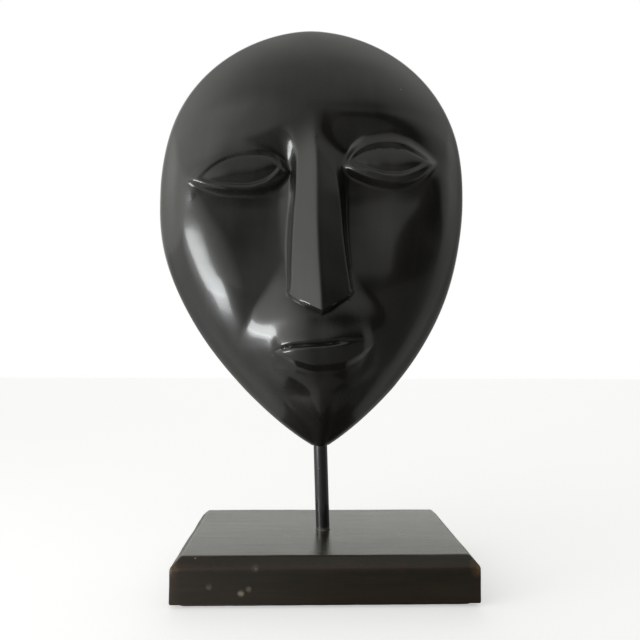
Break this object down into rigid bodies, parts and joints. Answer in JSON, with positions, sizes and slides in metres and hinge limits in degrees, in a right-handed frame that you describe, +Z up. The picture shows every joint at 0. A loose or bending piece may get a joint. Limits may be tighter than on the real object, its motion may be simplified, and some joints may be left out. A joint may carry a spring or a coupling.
{
  "type": "carved wooden mask on a stand",
  "caption": "Tall egg-shaped carved wooden mask with a hollow back, held upright by a thin round rod in a chamfered rectangular wooden base.",
  "frame": {"origin": "centre of the underside of the felt pad that the stand rests on", "axes": "+Z up; the mask looks along -Y, and the rod leans a little to -X"},
  "size_m": [0.227, 0.128, 0.4014],
  "materials": {
    "mask_wood": "polished black stain",
    "base_wood": "satin brown-black stain, worn at the edges",
    "rod_finish": "gloss black",
    "fixing_steel": "zinc plated",
    "felt": "black wool felt"
  },
  "bodies": {
    "stand": {"base": "base_wood", "felt_pad": "felt"},
    "rod": {"rod": "rod_finish", "washer": "fixing_steel", "spring_washer": "fixing_steel", "hex_nut": "fixing_steel"},
    "mask": {"mask": "mask_wood"}
  },
  "joints": [
    {"name": "rod_swivel", "type": "hinge", "parent": "stand", "child": "rod", "pos_m": [0, 0, 0.03], "axis": [-0.0332, 0, 0.9995], "continuous": true},
    {"name": "mask_lift", "type": "slide", "parent": "rod", "child": "mask", "axis": [-0.0332, 0, 0.9995], "range_m": [0, 0.06]}
  ]
}
